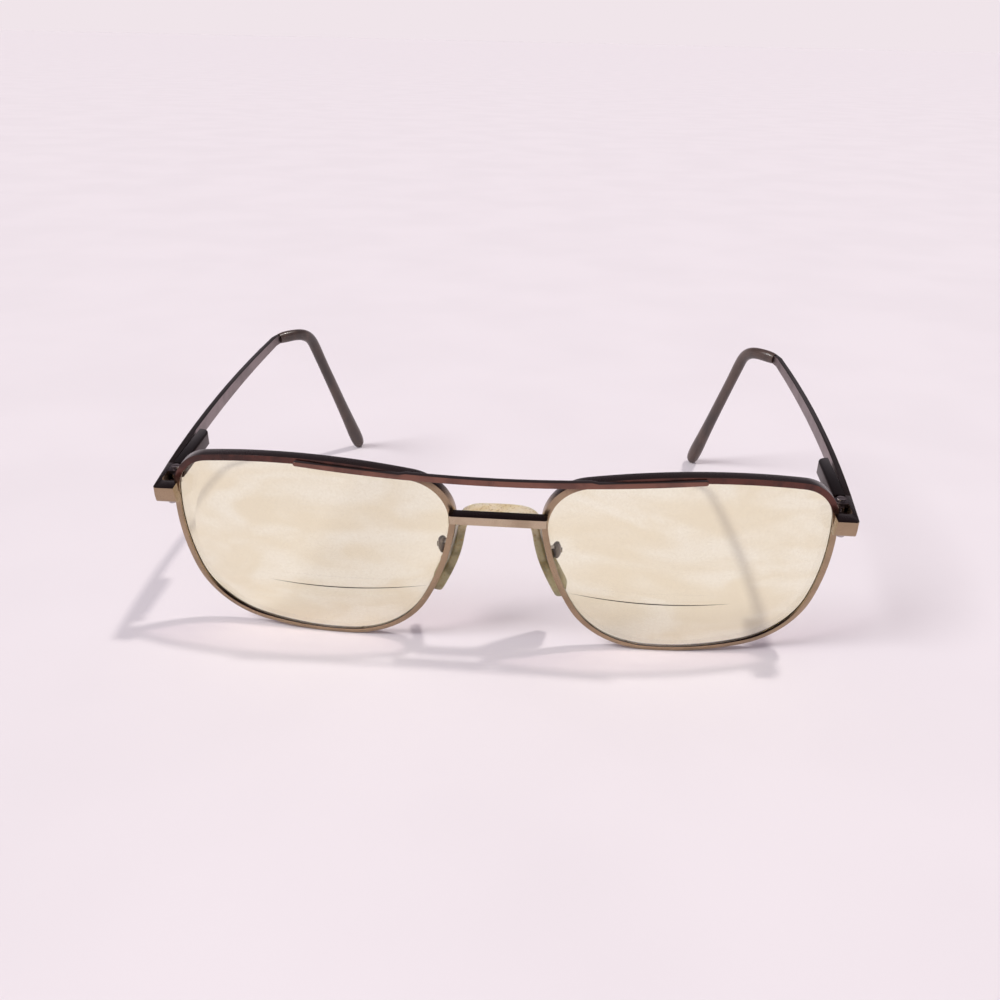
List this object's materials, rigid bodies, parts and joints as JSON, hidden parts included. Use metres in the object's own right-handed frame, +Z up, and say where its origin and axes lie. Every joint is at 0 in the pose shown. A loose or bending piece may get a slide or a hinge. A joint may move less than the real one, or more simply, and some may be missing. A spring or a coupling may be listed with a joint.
{
  "type": "full-rim eyeglasses",
  "caption": "Metal full-rim spectacles with a brow bar over a lower bridge, a strap nose pad, flat-top bifocal lenses and spring-hinged temples that fold.",
  "frame": {"origin": "bottom centre of the bounding box, on the surface that the rims and temple tips stand on", "axes": "+Z up, +Y back along the temples towards the ears, +X to the right side as seen from the front"},
  "size_m": [0.139, 0.1148, 0.0432],
  "materials": {
    "champagne_metal": "satin champagne plate, reddish-brown enamel on the upper fronts",
    "enamelled_metal": "gloss reddish-brown enamel",
    "temple_metal": "satin mauve grey plate",
    "screw_steel": "polished",
    "lens": "clear, faint warm tint",
    "silicone": "translucent silicone, yellowed with age",
    "tip_plastic": "glossy, slightly see-through"
  },
  "bodies": {
    "front": {"bridge": "champagne_metal", "brow_bar": "enamelled_metal", "saddle_pad": "silicone", "rim_left": "champagne_metal", "lens_left": "lens", "end_piece_left": "champagne_metal", "closing_block_upper_left": "champagne_metal", "closing_block_lower_left": "champagne_metal", "rim_lock_screw_left": "screw_steel", "hinge_front_left": "champagne_metal", "pad_arm_left": "screw_steel", "pad_box_left": "screw_steel", "pad_screw_left": "screw_steel", "rim_right": "champagne_metal", "lens_right": "lens", "end_piece_right": "champagne_metal", "closing_block_upper_right": "champagne_metal", "closing_block_lower_right": "champagne_metal", "rim_lock_screw_right": "screw_steel", "hinge_front_right": "champagne_metal", "pad_arm_right": "screw_steel", "pad_box_right": "screw_steel", "pad_screw_right": "screw_steel"},
    "left_pin": {"hinge_screw_left": "screw_steel"},
    "left_slider": {"hinge_slider_left": "screw_steel"},
    "left_temple": {"temple_left": "temple_metal", "spring_housing_left": "temple_metal", "flex_spring_left": "screw_steel", "temple_tip_left": "tip_plastic"},
    "right_pin": {"hinge_screw_right": "screw_steel"},
    "right_slider": {"hinge_slider_right": "screw_steel"},
    "right_temple": {"temple_right": "temple_metal", "spring_housing_right": "temple_metal", "flex_spring_right": "screw_steel", "temple_tip_right": "tip_plastic"}
  },
  "joints": [
    {"name": "left_fold", "type": "hinge", "parent": "front", "child": "left_pin", "pos_m": [-0.0663, -0.0453, 0.03347], "axis": [0, 0.0872, -0.9962], "range_deg": [0, 80]},
    {"name": "left_flex", "type": "hinge", "parent": "left_pin", "child": "left_slider", "pos_m": [-0.0663, -0.0453, 0.03347], "axis": [0, -0.0872, 0.9962], "range_deg": [0, 12], "stiffness_Nm_per_rad": 0.12},
    {"name": "left_spring_slide", "type": "slide", "parent": "left_slider", "child": "left_temple", "axis": [0, 0.9962, 0.0872], "range_m": [0, 0.00052], "deforming": ["flex_spring_left"]},
    {"name": "right_fold", "type": "hinge", "parent": "front", "child": "right_pin", "pos_m": [0.0663, -0.0453, 0.03347], "axis": [0, -0.0872, 0.9962], "range_deg": [0, 62]},
    {"name": "right_flex", "type": "hinge", "parent": "right_pin", "child": "right_slider", "pos_m": [0.0663, -0.0453, 0.03347], "axis": [0, 0.0872, -0.9962], "range_deg": [0, 12], "stiffness_Nm_per_rad": 0.12},
    {"name": "right_spring_slide", "type": "slide", "parent": "right_slider", "child": "right_temple", "axis": [0, 0.9962, 0.0872], "range_m": [0, 0.00052], "deforming": ["flex_spring_right"]}
  ],
  "couplings": [
    {"joint": "left_spring_slide", "follows": "left_flex", "m_per_rad": 0.0024},
    {"joint": "right_spring_slide", "follows": "right_flex", "m_per_rad": 0.0024}
  ]
}
